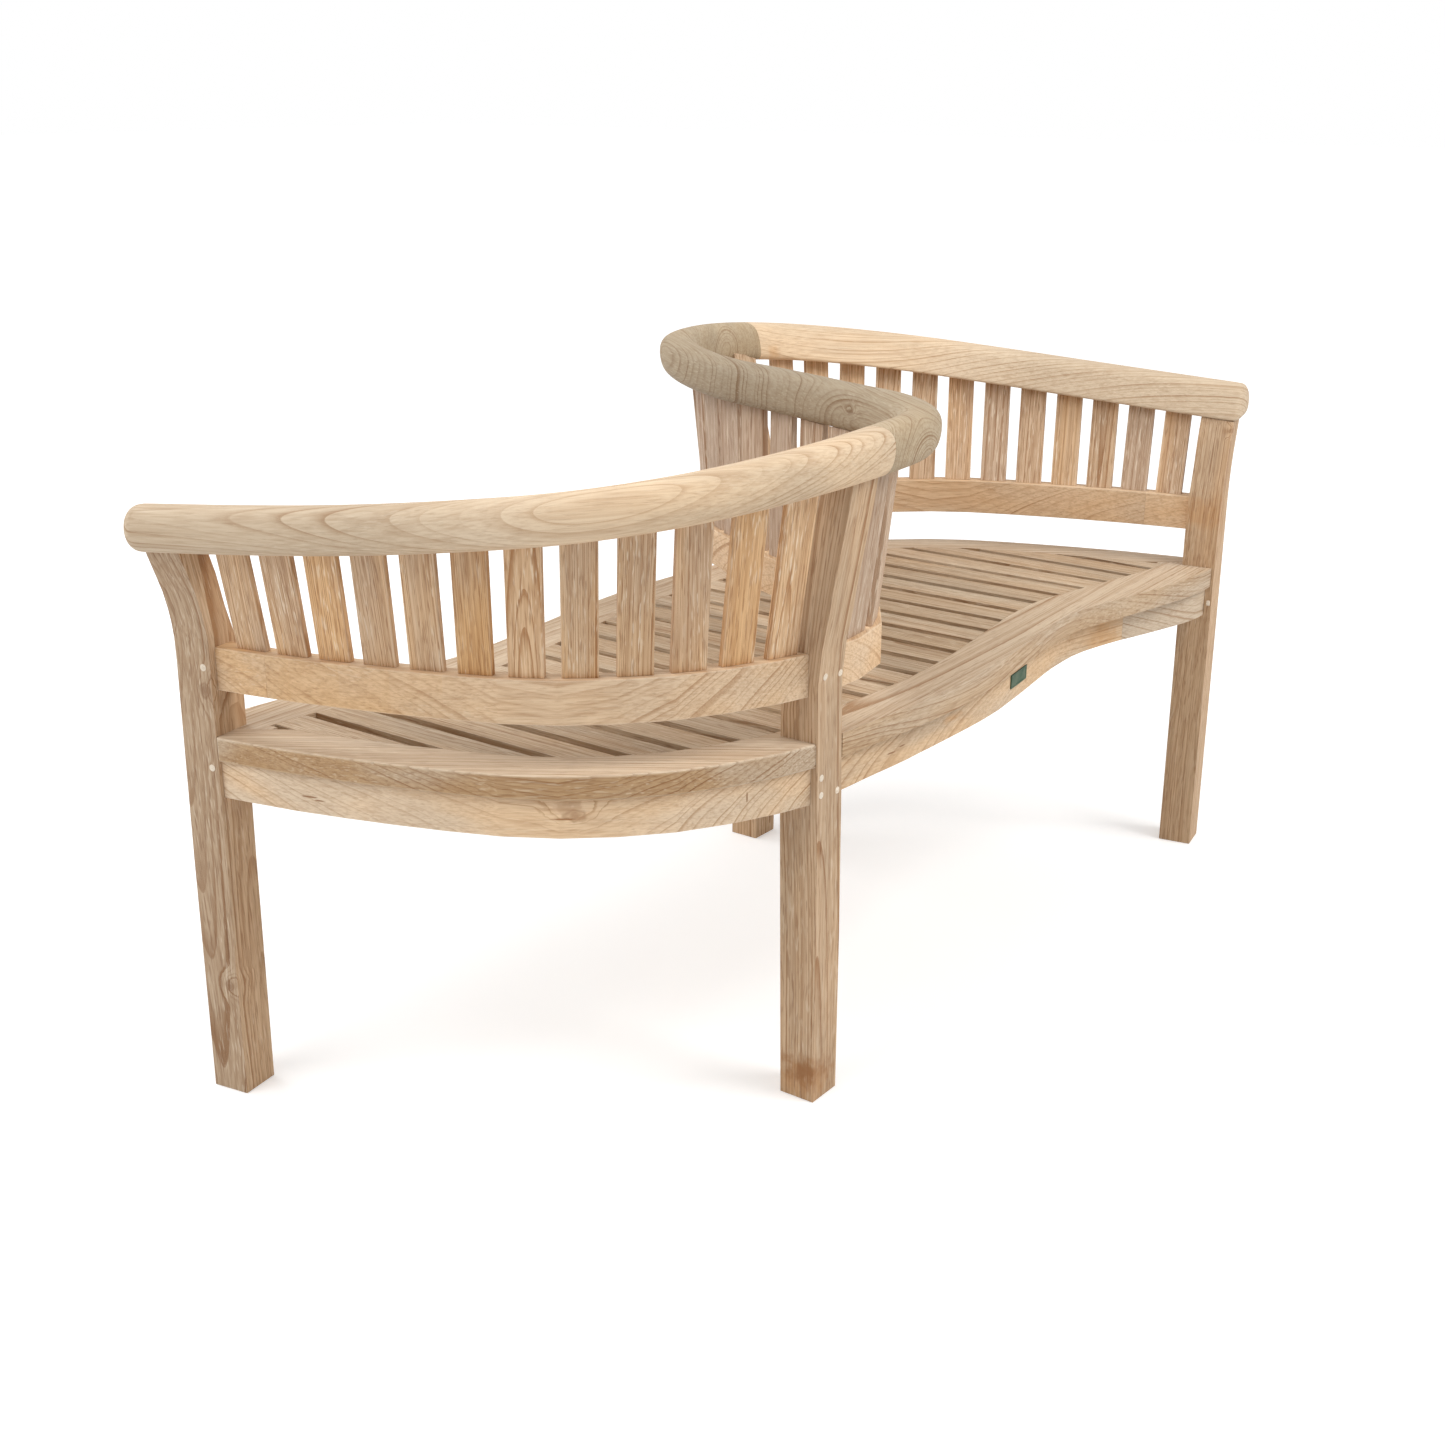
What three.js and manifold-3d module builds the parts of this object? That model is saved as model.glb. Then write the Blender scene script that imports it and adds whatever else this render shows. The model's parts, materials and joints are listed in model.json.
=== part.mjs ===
import * as THREE from 'three';
import Module from 'manifold-3d';
import { mergeVertices } from 'three/addons/utils/BufferGeometryUtils.js';

// Two-seat S-shaped garden bench of pale teak, the same after a half turn about its middle.
// Seat A opens toward +Y and seat B toward -Y. Half A holds end post A and bend post A at -X.
// Origin: the middle of the bench on the floor. X runs along the bench, Y across it. Millimetres.
const wasm = await Module();
wasm.setup();

// Overall sizes
const halfLength = 700;
const halfDepth = 300;
const seatHeight = 440;
const backRise = 317;
const jointGap = 0.3;
const overrun = 60;

// Hand rail
const railHeight = 54;
const railEndWidth = 60;
const railBendWidth = 56;
const railDomeA = 22;
const railDomeB = 15;

// Posts
const endPostSide = 47;
const endPostDepth = 50;
const bendPostSide = 48;
const bendPostDepth = 42;

// Lower back rails
const lowerRailRise = 100;
const lowerRailHeight = 49;
const lowerRailThickness = 26;

// Seat frame boards
const boardThickness = 28;
const endBoardOut = 24;
const endBoardIn = 33;
const frontBoardWidth = 68;
const rebateWidth = 10;

// Aprons under the boards
const apronHeight = 44;
const apronThickness = 24;
const apronInset = 6;

// Seat slats and the bearers under them
const seatSlatPitch = 53.7;
const seatSlatGap = 13.5;
const seatSlatShift = 36.35;
const seatSlatThickness = 16;
const bearerHeight = 24;
const bearerWidth = 34;
const bearerOffset = 95;
const bearerHousing = 2;

// Back slats
const slatWidth = 38;
const slatThickness = 9;
const centreSlatWidth = 48;

// Bare plate on the front apron of seat B
const plateLength = 54;
const plateHeight = 18.5;
const plateThickness = 1.5;
const plateDrop = 8.5;

// Plan line of the back at the lower rails, from the middle of the bench to end post A
const backLineShares = [
  [0, 0], [-0.05, -0.243], [-0.107, -0.477], [-0.171, -0.677], [-0.236, -0.797],
  [-0.336, -0.852], [-0.4286, -0.8417], [-0.541, -0.751], [-0.654, -0.608], [-0.739, -0.43],
  [-0.806, -0.223], [-0.861, 0.067], [-0.909, 0.393], [-0.939, 0.633], [-0.97, 0.977],
];
// Middle line of the hand rail, from the middle of the bench to end A: plan, then level
// A level is 0 at the floor, 1 at the seat and 2 at the rise of the back above it
const railLineShares = [
  [0, 0, 1.9858], [-0.0566, -0.398, 1.9842], [-0.1349, -0.7417, 1.9973], [-0.2374, -0.9625, 2.0016],
  [-0.3839, -1.0217, 2.0021], [-0.5546, -0.954, 1.9729], [-0.7101, -0.7693, 1.928],
  [-0.8284, -0.495, 1.8824], [-0.9057, -0.1423, 1.8397], [-0.9643, 0.245, 1.7994],
  [-1.0073, 0.6377, 1.7656], [-1.0417, 1.0157, 1.7363],
];
// Outer edge of the front board of seat B, from bend post A to end post B
const frontLineShares = [
  [-0.48, -0.893], [-0.4286, -0.9], [-0.39, -0.912], [-0.3, -0.933], [-0.196, -0.963], [-0.073, -0.977],
  [0.001, -0.973], [0.083, -0.96], [0.18, -0.933], [0.276, -0.907], [0.369, -0.883],
  [0.449, -0.877], [0.517, -0.893], [0.587, -0.933], [0.651, -0.967], [0.719, -1],
  [0.801, -1.037], [0.88, -1.058], [0.93, -1.058], [0.975, -1.04],
];
// Width of the front board along its length
const frontWidthShares = [
  [0, 0.745], [0.05, 0.76], [0.12, 0.9], [0.25, 0.94], [0.45, 0.96], [0.62, 1], [0.78, 1.04], [1, 1],
];

// Stations on the two half turn lines: 0 at the middle, 1 at end A
const bendPostShare = 0.3786;
const bendOverlapShare = 0.05;
const bendSeamAShare = 0.357;
const bendSeamBShare = 0.4;
const plateShare = 0.476;
const railShapeShares = { bend: 0.3, end: 0.55 };
// How far the slat heads stand inside the middle line of the hand rail, by its bend width
const headInsetShares = [
  [0, 0], [0.045, 0.09], [0.09, 0.19], [0.14, 0.31], [0.19, 0.41], [0.25, 0.44],
  [0.31, 0.39], [0.37, 0.3], [0.45, 0.23], [0.55, 0.18], [0.7, 0.16], [1, 0.16],
];
// Hand rail section toward its ends: flat and leaning on the seat side, domed on the outer side
const railEndShares = [
  [-0.083, 0.509], [0.083, 0.481], [0.233, 0.43], [0.342, 0.343], [0.417, 0.204],
  [0.508, -0.037], [0.6, -0.278], [0.633, -0.38], [0.612, -0.431], [0.48, -0.444],
  [0.233, -0.444], [0, -0.444], [-0.167, -0.441], [-0.283, -0.389], [-0.367, -0.278],
  [-0.417, -0.111], [-0.425, 0.074], [-0.383, 0.259], [-0.308, 0.389], [-0.2, 0.478],
];
// Lean of the hand rail section at the bends, outward at the top
const railLeanShares = [[0, 0], [0.1, 0.03], [0.2, 0.1], [0.35, 0.15], [1, 0.15]];
// Set back of the front apron behind the edge of its board, by the smallest set back
const apronInsetShares = [
  [0, 1.3], [0.065, 1.4], [0.143, 2], [0.223, 2.7], [0.29, 2.8], [0.363, 2.1], [0.419, 1.6],
  [0.486, 1.6], [0.561, 1.9], [0.634, 2.5], [0.687, 3.5], [0.734, 4.1], [0.777, 3.9],
  [0.817, 3.2], [0.862, 2.7], [0.897, 2.1], [0.957, 1.2], [1, 1],
];

// Feet and heads of the back slats of half A, from the end post to the bend post
const footShares = [
  0.9422, 0.8967, 0.8518, 0.8057, 0.759, 0.7124, 0.6651, 0.6173, 0.5681, 0.5188, 0.4706, 0.4229,
];
const headShares = [
  0.922, 0.8797, 0.8374, 0.7948, 0.752, 0.7089, 0.6654, 0.6211, 0.5756, 0.5292, 0.4802, 0.4295,
];
// Half B was laid out a little nearer to its end post
const footShiftShare = 0.0066;
const headShiftShare = 0.0144;
// Feet and heads of the slats of the centre back, counted both ways from the middle slat
const centreFootShares = [0, 0.0587, 0.1148, 0.1665, 0.2182, 0.2691, 0.3199];
const centreHeadShares = [0, 0.0521, 0.1018, 0.1505, 0.204, 0.262, 0.318];
const centreSlatNarrowing = [1, 1, 0.98, 0.94, 0.92, 0.9, 0.86];

// Post faces: level, then the outer and the inner face by post depth
const endPostShares = [
  [0, 0.5, 0.46], [0.65, 0.48, 0.5], [0.9, 0.45, 0.54], [1.1388, 0.43, 0.56], [1.2498, 0.42, 0.52],
  [1.3401, 0.43, 0.42], [1.3956, 0.47, 0.3], [1.4442, 0.53, 0.2], [1.508, 0.64, 0.1],
  [1.5691, 0.79, 0], [1.644, 0.98, -0.17], [1.6662, 1.03, -0.24], [1.694, 1.1, -0.32],
  [1.7356, 1.19, -0.44],
];
const bendPostShares = [
  [0, 0.545, 0.53], [0.4545, 0.54, 0.62], [0.818, 0.5, 0.69], [1.0631, 0.45, 0.7], [1.2082, 0.43, 0.68],
  [1.3331, 0.53, 0.55], [1.458, 0.72, 0.33], [1.552, 0.83, 0.18], [1.6662, 1, -0.02],
  [1.8328, 1.24, -0.34], [1.9161, 1.34, -0.48], [1.9994, 1.48, -0.66],
];

// Shape of the sections and steps of the curves
const railRoundShare = 0.77;
const domeStepCount = 7;
const domeCloseShare = 0.93;
const endPostTurn = THREE.MathUtils.degToRad(9.4);
const stepShare = 1 / 36;
const curveStepCount = 400;

// Seat slats counted from the middle, by panel
const panelRuns = { a: [-13, -5], middle: [-4, 3], b: [4, 12] };

function wood(colour) {
  return new THREE.MeshStandardMaterial({ color: colour, roughness: 0.72, metalness: 0 });
}

function toSolid(geometry) {
  const bare = geometry.clone();
  bare.deleteAttribute('normal');
  bare.deleteAttribute('uv');
  const merged = mergeVertices(bare);
  const vertProperties = new Float32Array(merged.attributes.position.array);
  const triVerts = new Uint32Array(merged.index.array);
  return new wasm.Manifold(new wasm.Mesh({ numProp: 3, vertProperties, triVerts }));
}

function toGeometry(solid) {
  const mesh = solid.getMesh();
  const geometry = new THREE.BufferGeometry();
  geometry.setAttribute('position', new THREE.BufferAttribute(new Float32Array(mesh.vertProperties), 3));
  geometry.setIndex(new THREE.BufferAttribute(new Uint32Array(mesh.triVerts), 1));
  const flat = geometry.toNonIndexed();
  flat.computeVertexNormals();
  return flat;
}

// Closed skin over rings of equal point counts, with flat ends
function loft(rings) {
  const count = rings[0].length;
  const points = rings.flat();
  const faces = [];
  for (let r = 0; r + 1 < rings.length; r += 1) {
    for (let k = 0; k < count; k += 1) {
      const a = r * count + k;
      const b = r * count + ((k + 1) % count);
      faces.push([a, b, b + count], [a, b + count, a + count]);
    }
  }
  const last = (rings.length - 1) * count;
  for (let k = 1; k + 1 < count; k += 1) {
    faces.push([0, k + 1, k], [last, last + k, last + k + 1]);
  }
  const cross = new THREE.Vector3();
  const wedge = ([a, b, c]) => points[a].dot(cross.crossVectors(points[b], points[c]));
  const volume = faces.reduce((sum, face) => sum + wedge(face), 0);
  const position = [];
  for (const [a, b, c] of faces) {
    const order = volume < 0 ? [a, c, b] : [a, b, c];
    for (const i of order) {
      position.push(points[i].x, points[i].y, points[i].z);
    }
  }
  const geometry = new THREE.BufferGeometry();
  geometry.setAttribute('position', new THREE.Float32BufferAttribute(position, 3));
  return geometry;
}

function slab(outline, bottom, top) {
  const shape = new THREE.Shape(outline);
  const geometry = new THREE.ExtrudeGeometry(shape, { depth: top - bottom, bevelEnabled: false });
  geometry.translate(0, 0, bottom);
  return toSolid(geometry);
}

function lookup(table, share) {
  for (let i = 1; i < table.length; i += 1) {
    if (share <= table[i][0]) {
      const t = (share - table[i - 1][0]) / (table[i][0] - table[i - 1][0]);
      return THREE.MathUtils.lerp(table[i - 1][1], table[i][1], t);
    }
  }
  return table[table.length - 1][1];
}

function heightOf(level) {
  return Math.min(level, 1) * seatHeight + Math.max(level - 1, 0) * backRise;
}

function place([x, y, level = 0]) {
  return new THREE.Vector3(x * halfLength, y * halfDepth, heightOf(level));
}

function halfTurned(solid) {
  return solid.rotate([0, 0, 180]);
}

// A line through the middle that is its own half turn, from end B at station -1 to end A at station 1
function halfTurnLine(shares) {
  const halfA = shares.map(place);
  const halfB = halfA.slice(1).map((p) => new THREE.Vector3(-p.x, -p.y, p.z)).reverse();
  return smooth([...halfB, ...halfA]);
}

function smooth(points) {
  const curve = new THREE.CatmullRomCurve3(points, false, 'centripetal');
  curve.arcLengthDivisions = curveStepCount;
  return curve;
}

// Point, plan heading and plan direction to the right of it, at a share of the whole line
function frameAt(curve, share) {
  const point = curve.getPointAt(share);
  const heading = curve.getTangentAt(share).setZ(0).normalize();
  return { point, heading, right: new THREE.Vector3(heading.y, -heading.x, 0) };
}

function shareOf(station) {
  return THREE.MathUtils.inverseLerp(-1, 1, station);
}

function samples(from, to, step) {
  const count = Math.max(2, Math.ceil(Math.abs(to - from) / step));
  return Array.from({ length: count + 1 }, (_, i) => THREE.MathUtils.lerp(from, to, i / count));
}

const backLine = halfTurnLine(backLineShares);
const railLine = halfTurnLine(railLineShares);
const frontLine = smooth(frontLineShares.map(place));

// Plan band between distances to the left and to the right of a line
function band(curve, from, to, left, right) {
  const edge = (share, distance) => {
    const { point, right: aside } = frameAt(curve, share);
    const p = point.addScaledVector(aside, distance);
    return new THREE.Vector2(p.x, p.y);
  };
  const shares = samples(from, to, stepShare);
  return [...shares.map((s) => edge(s, -left(s))), ...shares.reverse().map((s) => edge(s, right(s)))];
}

// Hand rail section at a station, as points from the top toward the right of the line
function railRing(station, grow, scale, along) {
  const { point, heading, right } = frameAt(railLine, shareOf(station));
  const reach = Math.abs(station);
  const side = station < 0 ? -1 : 1;
  const blend = THREE.MathUtils.smoothstep(reach, railShapeShares.bend, railShapeShares.end);
  const lean = lookup(railLeanShares, reach);
  const count = railEndShares.length;
  const outline = railEndShares.map(([across, up], k) => {
    const angle = Math.PI / 2 - (2 * Math.PI * k) / count;
    const bulge = (value) => Math.sign(value) * Math.pow(Math.abs(value), railRoundShare);
    const bendUp = (bulge(Math.sin(angle)) * railHeight) / 2;
    const bendAcross = (bulge(Math.cos(angle)) * railBendWidth) / 2 - lean * bendUp;
    const atEnd = new THREE.Vector2(across * railEndWidth, up * railHeight);
    return new THREE.Vector2(bendAcross, bendUp).lerp(atEnd, blend);
  });
  return outline.map((_, k) => {
    const pick = side < 0 ? (count - k) % count : k;
    const chord = outline[(pick + 1) % count].clone().sub(outline[(pick + count - 1) % count]).normalize();
    const flat = outline[pick].clone().add(new THREE.Vector2(-chord.y, chord.x).multiplyScalar(grow));
    flat.multiplyScalar(scale);
    return point.clone()
      .addScaledVector(right, flat.x * side)
      .addScaledVector(heading, along)
      .setZ(point.z + flat.y);
  });
}

// Rounded tip of the hand rail, where side is 1 for end A and -1 for end B
function domeRings(side, dome, grow) {
  return Array.from({ length: domeStepCount }, (_, i) => {
    const angle = (((i + 1) / domeStepCount) * domeCloseShare * Math.PI) / 2;
    const along = side * Math.sin(angle) * (dome + grow);
    return railRing(side, grow, Math.pow(Math.cos(angle), railRoundShare), along);
  });
}

// Hand rail over a list of stations, with a rounded tip where the list reaches an end
function handRail(stations, grow) {
  const rings = stations.map((station) => railRing(station, grow, 1, 0));
  if (stations[stations.length - 1] === 1) {
    rings.push(...domeRings(1, railDomeA, grow));
  }
  if (stations[0] === -1) {
    rings.unshift(...domeRings(-1, railDomeB, grow).reverse());
  }
  return toSolid(loft(rings));
}

const seamStation = jointGap / railLine.getLength();
const railRuns = {
  endB: samples(-1, -bendSeamBShare - seamStation, stepShare),
  centre: samples(seamStation - bendSeamBShare, bendSeamAShare - seamStation, stepShare),
  endA: samples(bendSeamAShare + seamStation, 1, stepShare),
};
const railCutter = handRail([...railRuns.endB, ...railRuns.centre, ...railRuns.endA], jointGap);
const endRailA = handRail(railRuns.endA, 0);
const centreRail = handRail(railRuns.centre, 0);
const endRailB = handRail(railRuns.endB, 0);

// Posts of half A
const endPostCentre = frameAt(backLine, 1).point;
const bendPostCentre = frameAt(backLine, shareOf(bendPostShare)).point;
const endPostOut = new THREE.Vector3(-Math.cos(endPostTurn), -Math.sin(endPostTurn), 0);
const bendPostOut = new THREE.Vector3(0, -1, 0);

function postRings(centre, outward, side, depth, table, grow, reach) {
  const aside = new THREE.Vector3(-outward.y, outward.x, 0);
  return table.map(([level, outer, inner], i) => {
    const corner = (out, beside) => centre.clone()
      .addScaledVector(outward, out)
      .addScaledVector(aside, beside)
      .setZ(heightOf(level) - (i === 0 ? grow : 0));
    const face = outer * depth + grow + reach;
    const back = -inner * depth - grow;
    const half = side / 2 + grow;
    return [corner(face, -half), corner(face, half), corner(back, half), corner(back, -half)];
  });
}

function endPostSolid(grow, reach) {
  const sizes = [endPostSide, endPostDepth, endPostShares];
  return toSolid(loft(postRings(endPostCentre, endPostOut, ...sizes, grow, reach)));
}

function bendPostSolid(grow, reach) {
  const sizes = [bendPostSide, bendPostDepth, bendPostShares];
  return toSolid(loft(postRings(bendPostCentre, bendPostOut, ...sizes, grow, reach)));
}

const postPair = endPostSolid(jointGap, overrun).add(bendPostSolid(jointGap, overrun));
const postCutter = postPair.add(halfTurned(postPair));

// Lower back rails
const lowerRailTop = seatHeight + lowerRailRise;
const lowerRailBottom = lowerRailTop - lowerRailHeight;
const halfLowerRail = () => lowerRailThickness / 2;
const bendShareA = shareOf(bendPostShare);
const bendShareB = shareOf(-bendPostShare);

function lowerRail(from, to) {
  const outline = band(backLine, from, to, halfLowerRail, halfLowerRail);
  return slab(outline, lowerRailBottom, lowerRailTop).subtract(postCutter);
}

// Back slats lean from the lower rail to the hand rail
function slat(footStation, headStation, width) {
  const foot = frameAt(backLine, shareOf(footStation));
  const head = frameAt(railLine, shareOf(headStation));
  const inset = lookup(headInsetShares, Math.abs(headStation)) * railBendWidth * Math.sign(headStation);
  const headPoint = head.point.clone().addScaledVector(head.right, inset);
  const railMiddle = headPoint.z;
  headPoint.z -= railHeight / 2;
  const footPoint = foot.point.clone().setZ(lowerRailTop + jointGap);
  const reach = (railMiddle - footPoint.z) / (headPoint.z - footPoint.z);
  const top = footPoint.clone().lerp(headPoint, reach);
  const along = foot.heading.clone().add(head.heading).normalize();
  const across = new THREE.Vector3(along.y, -along.x, 0);
  const corner = (middle, u, v) => middle.clone()
    .addScaledVector(along, (u * width) / 2)
    .addScaledVector(across, (v * slatThickness) / 2);
  const corners = [[-1, -1], [1, -1], [1, 1], [-1, 1]];
  const ring = (middle) => corners.map(([u, v]) => corner(middle, u, v));
  return toSolid(loft([ring(footPoint), ring(top)])).subtract(railCutter);
}

// Seat frame: boards mitred at the posts, over aprons
const boardBottom = seatHeight - boardThickness;
const slatBottom = seatHeight - seatSlatThickness;
const frontWidth = (share) => lookup(frontWidthShares, share) * frontBoardWidth;
const endEdge = shareOf(bendPostShare - bendOverlapShare);

// The two boards meet in a butt joint at the middle of the bend post, each short of it by half a gap
function endSlab(out, inward, bottom, top, short = halfGap) {
  const outline = band(backLine, endEdge, 1, () => out, () => inward);
  return slab(outline, bottom, top).subtract(sideBlock(bendPlan, across, toRight, -short));
}

function frontSlab(near, far, bottom, top, short = halfGap) {
  const outline = band(frontLine, 0, 1, far, (share) => -near(share));
  return slab(outline, bottom, top).subtract(sideBlock(bendPlan, across, toLeft, -short));
}

const boardEdge = () => 0;

const endPostPlan = new THREE.Vector2(endPostCentre.x, endPostCentre.y);
const frontEnd = frontLine.getPointAt(1);
const frontReach = endPostCentre.y + frontEnd.y;
const mitre = new THREE.Vector2(endBoardIn, -(frontBoardWidth + frontReach)).normalize();
const mitreAway = new THREE.Vector2(-mitre.y, mitre.x);

// A block that covers one side of a plan line, from a point both ways along a direction
function sideBlock(point, direction, away, gap) {
  const size = frontBoardWidth + overrun;
  const start = point.clone().addScaledVector(away, gap);
  const a = start.clone().addScaledVector(direction, -size);
  const b = start.clone().addScaledVector(direction, size);
  const c = b.clone().addScaledVector(away, size);
  const d = a.clone().addScaledVector(away, size);
  return slab([a, b, c, d], 0, seatHeight + overrun);
}

const bendPlan = new THREE.Vector2(bendPostCentre.x, bendPostCentre.y);
const across = new THREE.Vector2(0, 1);
const toRight = new THREE.Vector2(1, 0);
const toLeft = new THREE.Vector2(-1, 0);
const halfGap = jointGap / 2;
const beyondMitre = sideBlock(endPostPlan, mitre, mitreAway, -halfGap);
const beforeMitreTurned = halfTurned(sideBlock(endPostPlan, mitre, mitreAway.clone().negate(), -halfGap));

// The loop through the middle of the four boards encloses the seat slats
function planPoints(curve, from, to, aside) {
  return samples(from, to, stepShare).map((share) => {
    const { point, right } = frameAt(curve, share);
    const p = point.addScaledVector(right, aside);
    return new THREE.Vector2(p.x, p.y);
  });
}

const loopHalf = [
  ...planPoints(backLine, 1, endEdge, 0),
  ...planPoints(frontLine, 2 * stepShare, 1 - stepShare, -frontBoardWidth / 2),
];
const loop = [...loopHalf, ...loopHalf.map((p) => p.clone().negate())];

function seatField(bottom, top, inward) {
  const low = bottom - overrun;
  const high = top + overrun;
  const endPart = endSlab(endBoardOut, endBoardIn + inward, low, high, -halfGap);
  const frontPart = frontSlab(boardEdge, (s) => frontWidth(s) + inward, low, high, -halfGap);
  const frame = endPart.add(frontPart);
  return slab(loop, bottom, top).subtract(frame).subtract(halfTurned(frame)).subtract(postCutter);
}

const bareFrame = endSlab(endBoardOut, endBoardIn, 0, seatHeight + overrun, -halfGap)
  .add(frontSlab(boardEdge, frontWidth, 0, seatHeight + overrun, -halfGap));
const rebateField = slab(loop, slatBottom - jointGap, seatHeight + overrun)
  .subtract(bareFrame).subtract(halfTurned(bareFrame));

const endBoard = endSlab(endBoardOut, endBoardIn + rebateWidth, boardBottom, seatHeight)
  .subtract(beyondMitre).subtract(postCutter).subtract(rebateField);
const frontBoard = frontSlab(boardEdge, (s) => frontWidth(s) + rebateWidth, boardBottom, seatHeight)
  .subtract(beforeMitreTurned).subtract(postCutter).subtract(rebateField);

// Aprons
const apronTop = boardBottom - jointGap;
const apronBottom = apronTop - apronHeight;
const apronOut = endBoardOut - apronInset;
const endApron = endSlab(apronOut, apronThickness - apronOut, apronBottom, apronTop).subtract(postCutter);
const apronFace = (share) => lookup(apronInsetShares, share) * apronInset;
const apronBack = (share) => apronFace(share) + apronThickness;
const frontApron = frontSlab(apronFace, apronBack, apronBottom, apronTop).subtract(postCutter);

// Seat panels: slats along Y, joined by straight bearers and by a curved bearer along the end board
const slatField = seatField(slatBottom, seatHeight, jointGap);
const bearerTop = slatBottom + bearerHousing;
const bearerField = seatField(bearerTop - bearerHeight, bearerTop, rebateWidth + jointGap);
const bearerEdge = endBoardIn + rebateWidth;
const curvedBearer = endSlab(-endBoardIn, bearerEdge + bearerWidth, 0, seatHeight);
const bearerBar = (y) => slab([
  new THREE.Vector2(-halfLength, y - bearerWidth / 2), new THREE.Vector2(halfLength, y - bearerWidth / 2),
  new THREE.Vector2(halfLength, y + bearerWidth / 2), new THREE.Vector2(-halfLength, y + bearerWidth / 2),
], 0, seatHeight);
const bearers = curvedBearer.add(halfTurned(curvedBearer))
  .add(bearerBar(bearerOffset)).add(bearerBar(-bearerOffset))
  .intersect(bearerField);

function seatStrip(left, right) {
  return slab([
    new THREE.Vector2(left, -halfDepth), new THREE.Vector2(right, -halfDepth),
    new THREE.Vector2(right, halfDepth), new THREE.Vector2(left, halfDepth),
  ], 0, seatHeight + overrun);
}

function seatPanel([first, last]) {
  const centre = (index) => seatSlatShift + index * seatSlatPitch;
  const half = (seatSlatPitch - seatSlatGap) / 2;
  const slats = [];
  for (let index = first; index <= last; index += 1) {
    slats.push(slatField.intersect(seatStrip(centre(index) - half, centre(index) + half)));
  }
  const bay = seatStrip(centre(first) - half, centre(last) + half);
  return wasm.Manifold.union([...slats, bearers.intersect(bay)]);
}

const lowerRailA = lowerRail(bendShareA, 1);
const lowerRailCentre = lowerRail(bendShareB, bendShareA);

// The plate lies on the face of the front apron, under the edge of the board
const plateFace = (share) => apronFace(share) - jointGap;
const plateReach = plateLength / frontLine.getLength() / 2;
const plateOutline = band(frontLine, plateShare - plateReach, plateShare + plateReach,
  plateFace, (share) => plateThickness - plateFace(share));
const plate = slab(plateOutline, apronTop - plateDrop - plateHeight, apronTop - plateDrop);

// Colours of the teak pieces and of the painted plate
const teak = {
  rail: 0xd2b48c, bend: 0xc2a688, post: 0xcdb08a, slat: 0xc9a987, seat: 0xcfb591, board: 0xd6b98f,
};
const plateGreen = 0x4f7360;
const bench = new THREE.Group();
bench.name = 'garden_bench';

function addPiece(name, solid, colour) {
  const mesh = new THREE.Mesh(toGeometry(solid), wood(colour));
  mesh.name = name;
  bench.add(mesh);
}

addPiece('end_post_a', endPostSolid(0, 0).subtract(railCutter), teak.post);
addPiece('end_post_b', halfTurned(endPostSolid(0, 0)).subtract(railCutter), teak.post);
addPiece('bend_post_a', bendPostSolid(0, 0).subtract(railCutter), teak.post);
addPiece('bend_post_b', halfTurned(bendPostSolid(0, 0)).subtract(railCutter), teak.post);
addPiece('end_apron_a', endApron, teak.board);
addPiece('end_apron_b', halfTurned(endApron), teak.board);
addPiece('front_apron_b', frontApron, teak.board);
addPiece('front_apron_a', halfTurned(frontApron), teak.board);
addPiece('end_board_a', endBoard, teak.board);
addPiece('end_board_b', halfTurned(endBoard), teak.board);
addPiece('front_board_b', frontBoard, teak.board);
addPiece('front_board_a', halfTurned(frontBoard), teak.board);
addPiece('front_plate_b', plate, plateGreen);
addPiece('seat_panel_a', seatPanel(panelRuns.a), teak.seat);
addPiece('seat_panel_middle', seatPanel(panelRuns.middle), teak.seat);
addPiece('seat_panel_b', seatPanel(panelRuns.b), teak.seat);
addPiece('lower_rail_a', lowerRailA, teak.rail);
addPiece('lower_rail_b', halfTurned(lowerRailA), teak.rail);
addPiece('lower_rail_centre', lowerRailCentre, teak.rail);
addPiece('hand_rail_end_a', endRailA, teak.rail);
addPiece('hand_rail_centre', centreRail, teak.bend);
addPiece('hand_rail_end_b', endRailB, teak.rail);

footShares.forEach((foot, i) => {
  const number = String(i + 1).padStart(2, '0');
  const head = headShares[i];
  addPiece(`back_slat_a_${number}`, slat(foot, head, slatWidth), teak.slat);
  const slatB = slat(-(foot + footShiftShare), -(head + headShiftShare), slatWidth);
  addPiece(`back_slat_b_${number}`, slatB, teak.slat);
});

const centreSlats = centreFootShares.flatMap((foot, i) => {
  const width = centreSlatWidth * centreSlatNarrowing[i];
  const head = centreHeadShares[i];
  return i === 0 ? [slat(foot, head, width)] : [slat(-foot, -head, width), slat(foot, head, width)];
});
centreSlats.forEach((solid, i) => {
  addPiece(`centre_slat_${String(i + 1).padStart(2, '0')}`, solid, teak.slat);
});

export default bench;
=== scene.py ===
import json
import math

import bpy
from mathutils import Matrix, Vector
from mathutils.bvhtree import BVHTree

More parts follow.
